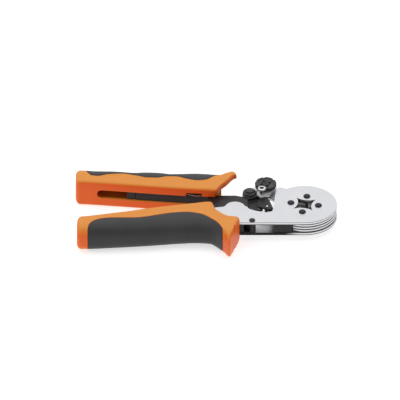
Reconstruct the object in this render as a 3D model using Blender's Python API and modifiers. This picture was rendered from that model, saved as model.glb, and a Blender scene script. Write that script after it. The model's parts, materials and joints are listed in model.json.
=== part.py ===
"""Square-profile crimping tool with a self-adjusting four-jaw head.

Everything is laid out in millimetres in the plane of the tool, from the centre of the crimping
die: +X points out of the head, +Y towards the moving handle, +Z up from the mid-plane. At the end
the whole tool is set down so that the origin is under the middle of its footprint.
"""
import math

import bmesh
import bpy
from mathutils import Matrix, Vector

MM = 0.001

# ---- Driving dimensions (mm, degrees) ---------------------------------------------------------
HEAD_R = 21.6            # radius of the round head of the frame plates
PLATE_T = 2.0            # thickness of a frame plate
LAMINATION_T = 1.8       # thickness of each of the three layers between the plates
LAYER_GAP = 0.2          # running gap between layers
RUNNING_GAP = 0.2        # radial gap of a pin in a hole
SEAT_GAP = 0.15          # gap under a head that sits on a plate

JAW_PIN_CIRCLE_R = 9.25  # circle through the four jaw pins
JAW_PIN_ANGLE = -10.0    # first jaw pin, from +X
JAW_PIN_R = 1.6
JAW_EYE_R = 3.4
JAW_TAIL = 6.0           # from a jaw's pin to the middle of its tail's round end
JAW_TAIL_R = 1.5
JAW_WIDTH = 3.05         # width of the crimping bar
DIE_HALF_CLOSED = 0.55   # half the square left when the jaws are shut
JAW_OPEN = 10.9          # turn of each jaw from shut to open
RING_OPEN = 4.3          # turn of the cam ring from shut to open

RING_INNER_R = 13.2
RING_EDGE_GAP = 0.4      # ring's rim inside the plates' rim
NOTCH_CLEARANCE = 0.25
WINDOW_TIP_R = 9.3       # star-shaped window: tips and the middle of its hollow sides
WINDOW_SIDE_R = 4.6

LEVER_PIVOT = (-36.6, 15.5)
TOGGLE_PIVOT = (-42.9, 1.0)
LINK_PIVOT = (-35.0, -19.0)
WHEEL_AXIS = (-25.8, 20.6)
LOCK_SCREW_DIRECTION = -107.8   # from the wheel's axis to the lock screw
LOCK_SHANK_R = 1.2
LOCK_SHANK_GAP = 0.17    # between the screw's shank and the wheel's rim
LOCK_HEAD_R = 2.75
LINK_SPRING_POST = (-43.4, -12.2)
PAWL_OFFSET = 1.06       # pawl pin outside the head's rim
PAWL_ANGLE = 190.2
FINGER_REACH = (-3.15, 12.1)    # from the pawl's pin to the tip of the release lever
HOOK_REACH = (-7.9, 3.11)       # and to the post of the pawl's spring
RELEASE_SIDE = [(-0.9, 8.9), (0.8, 2.4)]     # corners of its inner side
RELEASE_BACK = [(-7.4, 12.0), (-9.2, 6.4)]   # and of its outer side
RELEASE_WINDOW = [(-4.3, 2.4), (-2.7, 5.9), (-0.7, 2.1)]

LEVER_PIVOT_R = 2.0
LEVER_EYE_R = 4.6
ARM_EYE_R = 4.9
TOGGLE_PIN_R = 2.0
TOGGLE_PLAY = 0.5        # extra clearance of the link on the toggle pin
LINK_EYE_R = 3.7         # link's eye round the toggle pin
LINK_ROOT_R = 2.4        # and round its own rivet, inside the plates' front edge
LINK_PIN_R = 1.3
NOSE_R = 17.0            # ratchet sector on the lever
TOOTH_HEIGHT = 0.7
TOOTH_COUNT = 8
WHEEL_R = 7.2
WHEEL_T = 2.8
WHEEL_NOTCHES = 6
WHEEL_NOTCH_ANGLE = 40.0
WHEEL_SHAFT_R = 3.0

GRIP_LENGTH = 106.6      # from the collar's throat to the end of the handles
GRIP_HALF_T = 9.6        # half thickness of both handles, flat above and below
GRIP_CROWN = 10.8        # half thickness the rounded sections would reach if not flattened
GRIP_ROOT_X = -46.0
NOTCH_X = (-78.9, -68.4) # notch in the moving handle's slot, over the tang clip
NOTCH_TOP = 5.6
RETAINER_LENGTH = 5.2    # block that closes the end of the lever's tang
PAD_T = 2.2              # depth of the soft pads
PAD_GAP = 0.3
TANG_MARGIN = 24.0       # from the end of the fixed handle to the end of the steel in it
LEVER_TANG_MARGIN = 39.8 # and of the moving handle
SLOT_MARGIN = 14.3       # from the end of the moving handle to the end of its slot
HORN_LOW = 5.4           # underside of the horn at the moving handle's root
TANG_SCREW_R = 1.5

RETURN_SPRING_R = 2.2
RETURN_WIRE_R = 0.35
PAWL_SPRING_R = 0.8
PAWL_WIRE_R = 0.18

# ---- Levels (mm from the mid-plane) -----------------------------------------------------------
MID_TOP = LAMINATION_T / 2
UPPER_LOW = MID_TOP + LAYER_GAP
UPPER_TOP = UPPER_LOW + LAMINATION_T
PLATE_LOW = UPPER_TOP + LAYER_GAP
PLATE_TOP = PLATE_LOW + PLATE_T
WHEEL_LOW = PLATE_TOP + 0.3
WHEEL_TOP = WHEEL_LOW + WHEEL_T

RING_R = HEAD_R - RING_EDGE_GAP
GRIP_END_X = GRIP_ROOT_X - GRIP_LENGTH
TANG_END_X = GRIP_END_X + TANG_MARGIN
LEVER_END_X = GRIP_END_X + LEVER_TANG_MARGIN
SLOT_END_X = GRIP_END_X + SLOT_MARGIN
PAWL_PIVOT = ((HEAD_R + PAWL_OFFSET) * math.cos(math.radians(PAWL_ANGLE)),
              (HEAD_R + PAWL_OFFSET) * math.sin(math.radians(PAWL_ANGLE)))
PAWL_HOOK = (PAWL_PIVOT[0] + HOOK_REACH[0], PAWL_PIVOT[1] + HOOK_REACH[1])
LOCK_SCREW_REACH = WHEEL_R + LOCK_SHANK_R + LOCK_SHANK_GAP
LOCK_SCREW_AXIS = (
    WHEEL_AXIS[0] + LOCK_SCREW_REACH * math.cos(math.radians(LOCK_SCREW_DIRECTION)),
    WHEEL_AXIS[1] + LOCK_SCREW_REACH * math.sin(math.radians(LOCK_SCREW_DIRECTION)))
JAW_ANGLES = [JAW_PIN_ANGLE + 90 * k for k in range(4)]

STEEL = ("nickel_plated_steel", (0.80, 0.80, 0.82), 0.30, 1.0)
DARK_STEEL = ("black_oxide_steel", (0.045, 0.042, 0.045), 0.42, 0.6)
JAW_STEEL = ("hardened_jaw_steel", (0.20, 0.19, 0.20), 0.30, 0.9)
SPRING_STEEL = ("spring_steel", (0.55, 0.55, 0.57), 0.28, 1.0)
ORANGE = ("orange_plastic", (0.80, 0.28, 0.05), 0.45, 0.0)
RUBBER = ("black_soft_grip", (0.035, 0.033, 0.037), 0.70, 0.0)


# ---- Points -----------------------------------------------------------------------------------
def polar(radius, degrees, centre=(0.0, 0.0)):
    a = math.radians(degrees)
    return (centre[0] + radius * math.cos(a), centre[1] + radius * math.sin(a))


def arc(centre, radius, start, end, steps=12):
    return [polar(radius, start + (end - start) * i / steps, centre) for i in range(steps + 1)]


def circle(centre, radius, steps=16):
    return arc(centre, radius, 0, 360, steps)[:-1]


def rounded(corners, steps=3):
    """A run of (x, y, radius) corners, each one between the two ends eased by its radius."""
    points = []
    last_corner = len(corners) - 1
    for i, (x, y, radius) in enumerate(corners):
        if radius <= 0 or i in (0, last_corner):
            points.append((x, y))
            continue
        here = Vector((x, y))
        back = Vector(corners[i - 1][:2]) - here
        ahead = Vector(corners[i + 1][:2]) - here
        half = back.angle(ahead) / 2
        reach = min(radius / math.tan(half), 0.45 * back.length, 0.45 * ahead.length)
        first = here + back.normalized() * reach
        last = here + ahead.normalized() * reach
        for k in range(steps + 1):
            t = k / steps
            p = first * (1 - t) ** 2 + here * 2 * t * (1 - t) + last * t * t
            points.append((p.x, p.y))
    return points


def grown(outline, distance):
    """The same outline moved outwards by a distance."""
    area = sum(x0 * y1 - x1 * y0 for (x0, y0), (x1, y1)
               in zip(outline, outline[1:] + outline[:1]))
    side = 1 if area > 0 else -1
    moved = []
    for i, point in enumerate(outline):
        before = (Vector(point) - Vector(outline[i - 1])).normalized()
        after = (Vector(outline[(i + 1) % len(outline)]) - Vector(point)).normalized()
        normal = Vector((before.y + after.y, -before.x - after.x)) * side
        scale = distance / max(0.5, normal.length / 2) if normal.length else 0
        moved.append(tuple(Vector(point) + normal.normalized() * scale))
    return moved


# ---- Making objects ---------------------------------------------------------------------------
def material(spec):
    name, colour, roughness, metallic = spec
    if name in bpy.data.materials:
        return bpy.data.materials[name]
    made = bpy.data.materials.new(name)
    made.use_nodes = True
    shader = made.node_tree.nodes["Principled BSDF"]
    shader.inputs["Base Color"].default_value = (*colour, 1.0)
    shader.inputs["Roughness"].default_value = roughness
    shader.inputs["Metallic"].default_value = metallic
    made.diffuse_color = (*colour, 1.0)
    return made


def axis_empty(name, pivot, root):
    """An empty on a joint's axis. Its pieces are still laid out from the die's centre."""
    empty = bpy.data.objects.new(name, None)
    empty.empty_display_size = 5 * MM
    empty.location = (pivot[0] * MM, pivot[1] * MM, 0)
    empty.parent = root
    bpy.context.scene.collection.objects.link(empty)
    return empty


def place(obj, axis, z=0.0):
    obj.parent = axis
    if axis.parent:
        obj.location = (-axis.location.x, -axis.location.y, z * MM)
    else:
        obj.location = (0, 0, z * MM)


def plate(name, outline, holes, low, high, spec, axis, collection):
    """A flat piece: an outline with holes, between two heights."""
    curve = bpy.data.curves.new(name, "CURVE")
    curve.dimensions = "2D"
    curve.fill_mode = "BOTH"
    curve.extrude = (high - low) / 2 * MM
    for loop in [outline, *holes]:
        spline = curve.splines.new("POLY")
        spline.points.add(len(loop) - 1)
        for point, (x, y) in zip(spline.points, loop):
            point.co = (x * MM, y * MM, 0, 1)
        spline.use_cyclic_u = True
    obj = bpy.data.objects.new(name, curve)
    curve.materials.append(material(spec))
    collection.objects.link(obj)
    place(obj, axis, (low + high) / 2)
    return obj


def turned(name, centre, profile, spec, axis, collection, steps=16):
    """A round piece: (radius, height) profile from its top to its bottom, spun about +Z."""
    mesh = bpy.data.meshes.new(name)
    points = [(r * MM, 0, z * MM) for r, z in profile]
    mesh.from_pydata(points, [(i, i + 1) for i in range(len(points) - 1)], [])
    mesh.materials.append(material(spec))
    obj = bpy.data.objects.new(name, mesh)
    collection.objects.link(obj)
    place(obj, axis)
    obj.location.x += centre[0] * MM
    obj.location.y += centre[1] * MM
    screw = obj.modifiers.new("Turn", "SCREW")
    screw.axis = "Z"
    screw.steps = steps
    screw.render_steps = steps
    screw.use_merge_vertices = True
    screw.merge_threshold = 1e-6
    screw.use_smooth_shade = True
    return obj


def coil(name, start, end, radius, wire, turns, spec, axis, collection):
    """An extension spring between two points, wound about the straight line between them."""
    start, end = Vector(start), Vector(end)
    along = (end - start).normalized()
    side = along.orthogonal().normalized()
    up = along.cross(side)
    per_turn = 6
    count = int(turns * per_turn)
    curve = bpy.data.curves.new(name, "CURVE")
    curve.dimensions = "3D"
    curve.bevel_depth = wire * MM
    curve.bevel_resolution = 0
    curve.use_fill_caps = True
    spline = curve.splines.new("POLY")
    spline.points.add(count)
    for i, point in enumerate(spline.points):
        turn = 2 * math.pi * i / per_turn
        place_on_axis = start.lerp(end, i / count)
        ring = side * math.cos(turn) * radius + up * math.sin(turn) * radius
        point.co = (*((place_on_axis + ring) * MM), 1)
    curve.materials.append(material(spec))
    obj = bpy.data.objects.new(name, curve)
    collection.objects.link(obj)
    place(obj, axis)
    return obj


def as_mesh(obj):
    """Turn a curve object into a welded mesh object that can cut or be cut."""
    bpy.context.view_layer.update()
    evaluated = obj.evaluated_get(bpy.context.evaluated_depsgraph_get())
    mesh = bpy.data.meshes.new_from_object(evaluated)
    welder = bmesh.new()
    welder.from_mesh(mesh)
    bmesh.ops.remove_doubles(welder, verts=welder.verts, dist=1e-6)
    bmesh.ops.recalc_face_normals(welder, faces=welder.faces)
    welder.to_mesh(mesh)
    welder.free()
    made = bpy.data.objects.new(obj.name + "_solid", mesh)
    obj.users_collection[0].objects.link(made)
    made.parent = obj.parent
    made.matrix_world = obj.matrix_world.copy()
    name = obj.name
    bpy.data.objects.remove(obj)
    made.name = name
    return made


def hide_cutter(obj):
    obj.hide_render = True
    obj.display_type = "WIRE"
    return obj


def combine(obj, other, operation):
    boolean = obj.modifiers.new(operation.title(), "BOOLEAN")
    boolean.operation = operation
    boolean.object = other
    boolean.solver = "EXACT"


def loft(name, sections, spec, axis, collection):
    """A solid through closed sections of equal point count, capped at both ends."""
    body = bmesh.new()
    rings = [[body.verts.new(Vector(p) * MM) for p in section] for section in sections]
    count = len(rings[0])
    for ring, after in zip(rings, rings[1:]):
        for i in range(count):
            j = (i + 1) % count
            body.faces.new((ring[i], ring[j], after[j], after[i]))
    body.faces.new(rings[0])
    body.faces.new(reversed(rings[-1]))
    bmesh.ops.recalc_face_normals(body, faces=body.faces)
    mesh = bpy.data.meshes.new(name)
    body.to_mesh(mesh)
    body.free()
    mesh.materials.append(material(spec))
    obj = bpy.data.objects.new(name, mesh)
    collection.objects.link(obj)
    place(obj, axis)
    return obj


# ---- Frame ------------------------------------------------------------------------------------
def frame_outline():
    """Round head, throat on the lever's side, hump over the toggle and a tang into the handle."""
    head = arc((0, 0), HEAD_R, 122.4, -90, 36)
    tang = rounded([
        (-45.0, -HEAD_R, 0), (-60.0, -HEAD_R + 0.6, 6), (TANG_END_X, -28.5, 2),
        (TANG_END_X, -20.5, 2), (-66.0, -11.0, 4), (-59.5, -3.95, 2), (-53.9, -3.1, 1.5)])
    hump = arc((-46.25, -3.7), 6.6, 163, 15, 10)
    throat = rounded([
        (-38.3, -3.1, 1), (-36.9, -5.6, 1.5), (-32.9, -7.7, 2), (-25.6, -9.95, 3),
        (-21.6, -8.2, 1.5), (-20.4, -3.5, 2), (-20.1, 4.8, 0), (-19.4, 12.4, 0), (-17.2, 18.5, 1),
        (-16.6, 20.4, 0.8), (-14.4, 18.9, 1)])
    return head + tang + hump + throat


def star_window():
    """Four points between the jaw pins, joined by hollow arcs."""
    points = []
    half = WINDOW_TIP_R * math.sin(math.radians(45))
    arc_r = (WINDOW_TIP_R ** 2 + WINDOW_SIDE_R ** 2 - 2 * half * WINDOW_SIDE_R) / (
        2 * (half - WINDOW_SIDE_R))
    centre_r = WINDOW_SIDE_R + arc_r
    spread = math.degrees(math.asin(half / arc_r)) - 1.6
    for angle in JAW_ANGLES:
        centre = polar(centre_r, angle)
        points += arc(centre, arc_r, angle + 180 + spread, angle + 180 - spread, 8)
    return points


def make_frame(axis, collection):
    jaw_pins = [polar(JAW_PIN_CIRCLE_R, a) for a in JAW_ANGLES]
    spacers = {"front": tang_point(0.22), "rear": tang_point(0.8)}
    post = tang_point(0.04)
    holes = [star_window(), circle(LINK_PIVOT, LINK_PIN_R + RUNNING_GAP)]
    holes += [circle(p, JAW_PIN_R + RUNNING_GAP) for p in jaw_pins]
    holes += [circle(p, TANG_SCREW_R + RUNNING_GAP) for p in [*spacers.values(), post]]
    outline = frame_outline()
    plate("frame_plate_top", outline, holes, PLATE_LOW, PLATE_TOP, STEEL, axis, collection)
    plate("frame_plate_bottom", outline, holes, -PLATE_TOP, -PLATE_LOW, STEEL, axis, collection)
    for number, pin in enumerate(jaw_pins, 1):
        rivet(f"jaw_pin_{number}", pin, JAW_PIN_R, 2.2, 1.1, axis, collection)
    rivet("link_rivet", LINK_PIVOT, LINK_PIN_R, 1.9, 0.8, axis, collection)
    for name, point in spacers.items():
        plate(f"tang_spacer_{name}", circle(point, 3.2), [circle(point, TANG_SCREW_R + RUNNING_GAP)],
              -UPPER_TOP, UPPER_TOP, DARK_STEEL, axis, collection)
        turned(f"tang_rivet_{name}", point, pin_profile(TANG_SCREW_R, PLATE_TOP, -PLATE_TOP),
               DARK_STEEL, axis, collection)
    turned("return_spring_post", post, pin_profile(TANG_SCREW_R, PLATE_TOP, -PLATE_TOP),
           DARK_STEEL, axis, collection)
    front_edge = -HEAD_R + 0.3
    clear_r = RING_R + 0.3
    round_ring = arc((0, 0), clear_r, -112, -150, 8)
    (right, _), (_, back) = round_ring[0], round_ring[-1]
    left = -HEAD_R + 1.0
    beside_ring = round_ring + [(left, back - 1.6), (left, front_edge), (right - 0.9, front_edge)]
    plate("frame_spacer_front", beside_ring, [], -UPPER_TOP, UPPER_TOP, DARK_STEEL, axis, collection)
    in_collar = [(-50.0, front_edge), (-40.6, front_edge), (-41.5, -17.8), (-50.0, -17.2)]
    plate("frame_spacer_rear", in_collar, [], -UPPER_TOP, UPPER_TOP, DARK_STEEL, axis, collection)
    return post


def tang_point(share):
    """A point on the middle of the frame's tang, from its root to its end."""
    root, end = Vector((-64.0, -16.4)), Vector((TANG_END_X, -24.5))
    return tuple(root.lerp(end, share))


def pin_profile(radius, top, bottom):
    return [(0, top), (radius, top), (radius, bottom), (0, bottom)]


def rivet(name, centre, radius, head_r, head_h, axis, collection):
    """A rivet through both frame plates, with a domed head on each face."""
    seat = PLATE_TOP + SEAT_GAP
    dome = [(head_r * math.cos(a), seat + 0.3 + (head_h - 0.3) * math.sin(a))
            for a in [math.radians(d) for d in (90, 60, 30, 0)]]
    dome[0] = (0, dome[0][1])
    top = dome + [(head_r, seat), (radius, seat)]
    bottom = [(r, -z) for r, z in reversed(top)]
    turned(name, centre, top + bottom, DARK_STEEL, axis, collection)


# ---- Cam ring ---------------------------------------------------------------------------------
def ring_bore():
    """Inner edge of the ring, with a notch for each jaw's tail."""
    half = JAW_TAIL_R + NOTCH_CLEARANCE
    notch_r = JAW_PIN_CIRCLE_R + JAW_TAIL + JAW_TAIL_R + 0.45
    lip = math.degrees(math.asin(half / RING_INNER_R))
    points = []
    for angle in JAW_ANGLES:
        middle = angle + RING_OPEN
        turn = math.radians(middle)
        out, side = Vector((math.cos(turn), math.sin(turn))), Vector((-math.sin(turn), math.cos(turn)))
        mouth = RING_INNER_R * math.cos(math.radians(lip))
        points += [tuple(out * x + side * y) for x, y in [
            (mouth, -half), (notch_r - 0.5, -half), (notch_r, -half + 0.5),
            (notch_r, half - 0.5), (notch_r - 0.5, half), (mouth, half)]]
        points += arc((0, 0), RING_INNER_R, middle + lip + 5, middle + 85 - lip, 6)
    return points


def make_ring(axis, collection):
    inner_left_r = HEAD_R - 1.6
    main = arc((0, 0), RING_R, 200, 478, 40)
    wheel_side = rounded([(*polar(RING_R, 118), 0), (-18.0, 22.6, 2), (-21.9, 26.2, 0)])[1:]
    front = rounded([(-28.3, 14.3, 0), (-22.9, 16.7, 2), (*polar(RING_R, 148), 1)])
    left_upper = arc((0, 0), inner_left_r, 152, 184, 8)
    left_lower = arc((0, 0), inner_left_r, 196, 199, 2)
    lug = arc(PAWL_PIVOT, 2.4, 130, 250, 8)
    arm_end = arc(WHEEL_AXIS, 6.5, 65, 128, 8) + arc(LEVER_PIVOT, ARM_EYE_R, 112, 268, 14)
    outer = main + wheel_side + arm_end + front + left_upper + lug + left_lower
    rivets = [polar(RING_R - 2.3, a + RING_OPEN + 45) for a in JAW_ANGLES]
    shared = [ring_bore(), circle(WHEEL_AXIS, WHEEL_SHAFT_R + RUNNING_GAP)]
    shared += [circle(p, 1.3 + RUNNING_GAP, 16) for p in rivets]
    cover_holes = shared + [circle(LEVER_PIVOT, LEVER_PIVOT_R + RUNNING_GAP),
                            circle(PAWL_PIVOT, 0.8 + RUNNING_GAP, 12)]
    plate("cam_ring_top", outer, cover_holes, UPPER_LOW, UPPER_TOP, STEEL, axis, collection)
    plate("cam_ring_bottom", outer, cover_holes, -UPPER_TOP, -UPPER_LOW, STEEL, axis, collection)
    middle_end = arc(WHEEL_AXIS, 6.5, 65, 150, 10) + arc(WHEEL_AXIS, WHEEL_SHAFT_R + 1.2, 190, 290, 8)
    middle_front = rounded([(-22.9, 16.7, 0), (*polar(RING_R, 148), 1)])
    left = arc((0, 0), inner_left_r, 152, 199, 12)
    plate("cam_ring_middle", main + wheel_side + middle_end + middle_front + left, shared,
          -MID_TOP, MID_TOP, STEEL, axis, collection)
    for number, point in enumerate(rivets, 1):
        turned(f"ring_rivet_{number}", point, pin_profile(1.3, UPPER_TOP, -UPPER_TOP),
               DARK_STEEL, axis, collection, 16)
    flange, stud = PLATE_LOW + SEAT_GAP, PLATE_LOW + 1.5
    turned("lever_pivot_rivet", LEVER_PIVOT, [
        (0, stud + 1.3), (2.2, stud + 1.3), (2.8, stud + 0.9), (2.8, stud), (4.2, stud),
        (4.45, stud - 0.3), (4.45, flange), (LEVER_PIVOT_R, flange), (LEVER_PIVOT_R, -flange),
        (3.6, -flange), (3.6, -flange - 0.9), (3.0, -flange - 1.3), (0, -flange - 1.3)],
        DARK_STEEL, axis, collection, 24)
    lock_outline = (arc(WHEEL_AXIS, 5.4, 10, 190, 14) + [(-31.4, 15.4), (-31.4, 13.0)]
                    + arc(LOCK_SCREW_AXIS, 2.2, 205, 310, 8)
                    + rounded([(-26.0, 11.6, 0), (-21.4, 16.6, 2), (-18.9, 19.9, 0.5), (-19.6, 21.0, 0)]))
    plate("lock_plate", lock_outline, [
        circle(WHEEL_AXIS, WHEEL_SHAFT_R + RUNNING_GAP),
        circle(LOCK_SCREW_AXIS, LOCK_SHANK_R + RUNNING_GAP, 16)],
        PLATE_LOW, PLATE_LOW + 1.2, STEEL, axis, collection)


def make_wheel(axis, collection):
    points = []
    for k in range(WHEEL_NOTCHES):
        middle = WHEEL_NOTCH_ANGLE + 360 * k / WHEEL_NOTCHES
        for turn, depth in ((-22, 0), (-11, 0), (-6, 0.45), (0, 0.7), (6, 0.45), (11, 0), (22, 0)):
            points.append(polar(WHEEL_R - depth, middle + turn, WHEEL_AXIS))
    plate("adjust_wheel", points, [circle(WHEEL_AXIS, 2.6)], WHEEL_LOW, WHEEL_TOP, DARK_STEEL,
          axis, collection)
    collar = PLATE_LOW + 1.35
    turned("eccentric_pin", WHEEL_AXIS, [
        (0, WHEEL_TOP - 0.6), (2.4, WHEEL_TOP - 0.6), (2.4, WHEEL_LOW - 0.15),
        (4.6, WHEEL_LOW - 0.15), (4.6, collar), (WHEEL_SHAFT_R, collar),
        (WHEEL_SHAFT_R, -PLATE_LOW), (2.2, -PLATE_LOW), (2.2, -PLATE_LOW - 1.4),
        (0, -PLATE_LOW - 1.4)], DARK_STEEL, axis, collection)
    plate("eccentric_clip", arc(WHEEL_AXIS, 4.2, 30, 330, 20) + arc(WHEEL_AXIS, 2.35, 330, 30, 16),
          [], -PLATE_LOW - 1.15, -PLATE_LOW - 0.15, DARK_STEEL, axis, collection)


def make_lock_screw(axis, collection):
    head = WHEEL_TOP + 0.2
    turned("lock_screw", LOCK_SCREW_AXIS, [
        (0, head + 0.5), (1.15, head + 0.5), (1.3, head + 1.4), (LOCK_HEAD_R - 0.35, head + 1.4),
        (LOCK_HEAD_R, head + 1.1), (LOCK_HEAD_R, head), (LOCK_SHANK_R, head),
        (LOCK_SHANK_R, UPPER_TOP + 0.1),
        (0, UPPER_TOP + 0.1)], STEEL, axis, collection)


# ---- Jaws -------------------------------------------------------------------------------------
def make_jaw(number, angle, axis, collection):
    """A bell-crank jaw, drawn shut about its own pin and then turned open."""
    reach = JAW_PIN_CIRCLE_R + DIE_HALF_CLOSED - 0.15
    face, back = -DIE_HALF_CLOSED, -DIE_HALF_CLOSED - JAW_WIDTH
    bar = [(-reach + 0.5, back + 1.0), (-reach, back + 2.0), (-reach, face),
           (-JAW_EYE_R - 1.8, face)]
    eye_top = arc((0, 0), JAW_EYE_R, 171, 19, 12)
    tail = arc((JAW_TAIL, 0), JAW_TAIL_R, 70, -70, 8)
    eye_low = arc((0, 0), JAW_EYE_R, -19, -100, 6)
    outline = bar + eye_top + tail + eye_low + [(-3.4, back - 0.2), (-reach + 2.6, back)]
    hole = circle((0, 0), JAW_PIN_R + RUNNING_GAP)
    jaw = plate(f"jaw_{number}", outline, [hole], -UPPER_TOP, UPPER_TOP, JAW_STEEL, axis, collection)
    jaw.location.x = 0
    jaw.location.y = 0
    jaw.rotation_euler.z = math.radians(angle + JAW_OPEN)
    return jaw


# ---- Lever, link and pawl ---------------------------------------------------------------------
def lever_strip():
    """Upper and lower edge of the lever's tang, from the toggle to its end inside the handle."""
    upper = [(-60.0, 13.2, 3), (-66.0, 16.9, 4), (-72.0, 20.0, 4), (LEVER_END_X, 25.4, 1)]
    lower = [(LEVER_END_X, 16.9, 1), (-74.0, 12.4, 4), (-65.0, 11.2, 2), (-59.2, 0.3, 2)]
    return upper, lower


def make_lever(axis, collection):
    upper, lower = lever_strip()
    rivets = [(-51.0, 9.0), (-68.5, 15.5), (LEVER_END_X + 8, 20.1)]
    rivet_holes = [circle(p, 1.5 + RUNNING_GAP, 16) for p in rivets]
    side = (arc(TOGGLE_PIVOT, 5.2, -128, 20, 12)
            + rounded([(-37.8, 9.0, 1.5), (-41.6, 11.9, 2), (-46.0, 13.3, 2), *upper, *lower]))
    side_holes = [circle(TOGGLE_PIVOT, TOGGLE_PIN_R + 0.1), *rivet_holes]
    plate("lever_plate_top", side, side_holes, UPPER_LOW, UPPER_TOP, DARK_STEEL, axis, collection)
    plate("lever_plate_bottom", side, side_holes, -UPPER_TOP, -UPPER_LOW, DARK_STEEL, axis,
          collection)
    pitch = 24.5 / TOOTH_COUNT
    nose = [polar(NOSE_R, 272, LEVER_PIVOT)]
    for k in range(TOOTH_COUNT):
        nose.append(polar(NOSE_R, 277 + pitch * k, LEVER_PIVOT))
        nose.append(polar(NOSE_R + TOOTH_HEIGHT, 277 + pitch * (k + 0.5), LEVER_PIVOT))
    nose += [polar(NOSE_R, 277 + pitch * TOOTH_COUNT, LEVER_PIVOT),
             polar(NOSE_R - 3, 305.5, LEVER_PIVOT), polar(NOSE_R - 3.5, 326, LEVER_PIVOT),
             polar(NOSE_R - 5.2, 340, LEVER_PIVOT), polar(LEVER_EYE_R + 1.5, 345, LEVER_PIVOT)]
    core = (nose + arc(LEVER_PIVOT, LEVER_EYE_R, 345, 545, 16)
            + rounded([(-43.2, 13.8, 2), (-50.0, 14.0, 3), *upper, *lower, (-50.0, 4.6, 4),
                       (-45.0, 7.2, 3), (-39.0, 7.6, 2), (-37.2, 3.0, 2)]))
    core_holes = [circle(LEVER_PIVOT, LEVER_PIVOT_R + RUNNING_GAP), *rivet_holes]
    plate("lever_core", core, core_holes, -MID_TOP, MID_TOP, DARK_STEEL, axis, collection)
    for number, point in enumerate(rivets, 1):
        turned(f"lever_rivet_{number}", point, pin_profile(1.5, UPPER_TOP, -UPPER_TOP),
               DARK_STEEL, axis, collection, 16)
    turned("toggle_pin", TOGGLE_PIVOT, pin_profile(TOGGLE_PIN_R, UPPER_TOP, -UPPER_TOP),
           DARK_STEEL, axis, collection)


def make_link(axis, collection):
    across = Vector(TOGGLE_PIVOT) - Vector(LINK_PIVOT)
    heading = math.degrees(math.atan2(across.y, across.x))
    lug = arc(LINK_SPRING_POST, 1.9, heading + 5, heading + 165, 6)
    outline = (arc(LINK_PIVOT, LINK_ROOT_R, heading + 120, heading + 270, 10)
               + arc(TOGGLE_PIVOT, LINK_EYE_R, heading - 90, heading + 90, 12) + lug)
    toggle_hole = circle(TOGGLE_PIVOT, TOGGLE_PIN_R + RUNNING_GAP + TOGGLE_PLAY)
    pivot_hole = circle(LINK_PIVOT, LINK_PIN_R + RUNNING_GAP)
    post_hole = circle(LINK_SPRING_POST, 0.8 + 0.1, 12)
    plate("toggle_link", outline, [toggle_hole, pivot_hole, post_hole], -MID_TOP, MID_TOP,
          DARK_STEEL, axis, collection)
    inner = Vector(LINK_PIVOT) + across.normalized() * 9.0
    doubler = (arc(LINK_PIVOT, LINK_ROOT_R, heading + 90, heading + 270, 10)
               + arc(tuple(inner), LINK_ROOT_R, heading - 90, heading + 90, 8))
    plate("link_doubler_top", doubler, [pivot_hole], UPPER_LOW, UPPER_TOP, DARK_STEEL, axis,
          collection)
    plate("link_doubler_bottom", doubler, [pivot_hole], -UPPER_TOP, -UPPER_LOW, DARK_STEEL, axis,
          collection)
    turned("link_spring_post", LINK_SPRING_POST, pin_profile(0.8, UPPER_TOP - 0.2, -UPPER_TOP + 0.2),
           DARK_STEEL, axis, collection, 16)


def make_pawl(axis, collection):
    towards = Vector(LEVER_PIVOT) - Vector(PAWL_PIVOT)
    heading = math.degrees(math.atan2(towards.y, towards.x))
    reach = towards.length - NOSE_R - TOOTH_HEIGHT - 0.35
    tip = Vector(PAWL_PIVOT) + towards.normalized() * reach
    outline = arc(PAWL_PIVOT, 2.1, heading + 70, heading + 290, 14) + rounded(
        [(*polar(0.9, heading - 70, tip), 0.3), (*tip, 0.2), (*polar(1.5, heading + 115, tip), 0.4)])
    pin_hole = circle(PAWL_PIVOT, 0.8 + 0.1, 12)
    plate("pawl", outline, [pin_hole], -MID_TOP, MID_TOP, DARK_STEEL, axis, collection)
    finger = Vector(PAWL_PIVOT) + Vector(FINGER_REACH)
    side, back = ([tuple(Vector(PAWL_PIVOT) + Vector(corner)) for corner in corners]
                  for corners in (RELEASE_SIDE, RELEASE_BACK))
    outline = (arc(PAWL_PIVOT, 1.35, -95, 10, 8) + side[::-1] + arc(tuple(finger), 0.8, 15, 110, 8)
               + back + arc(PAWL_HOOK, 0.95, 160, 255, 8))
    window = [tuple(Vector(PAWL_PIVOT) + Vector(corner)) for corner in RELEASE_WINDOW]
    low = PLATE_LOW + 0.1
    plate("release_lever", outline, [pin_hole, circle(PAWL_HOOK, 0.5 + 0.1, 10), window], low,
          low + 1.2, DARK_STEEL, axis, collection)
    turned("pawl_pin", PAWL_PIVOT, pin_profile(0.8, low + 1.6, -UPPER_TOP), DARK_STEEL, axis,
           collection, 16)
    turned("pawl_spring_post", PAWL_HOOK, pin_profile(0.5, low + 1.4, UPPER_LOW + 0.1), DARK_STEEL, axis,
           collection, 12)


# ---- Handles ----------------------------------------------------------------------------------
def grip_x(share):
    """Station along a handle: 0 at the collar's root, 1 at its far end."""
    return GRIP_ROOT_X - GRIP_LENGTH * share


def grip_sections(stations, inset=0.0):
    """Flattened rounded sections between the inner and outer edge given at each station."""
    sections = []
    steps = 16
    power = 2 / 2.7
    for share, low, high, thin in stations:
        middle, half = (low + high) / 2, max((high - low) / 2 - inset, 0.6)
        ring = []
        for k in range(steps):
            turn = 2 * math.pi * (k + 0.5) / steps
            c, s = math.cos(turn), math.sin(turn)
            y = middle + half * math.copysign(abs(c) ** power, c)
            z = GRIP_CROWN * thin * math.copysign(abs(s) ** power, s)
            limit = GRIP_HALF_T * thin - inset
            ring.append((grip_x(share), y, max(-limit, min(limit, z))))
        sections.append(ring)
    return sections


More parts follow.
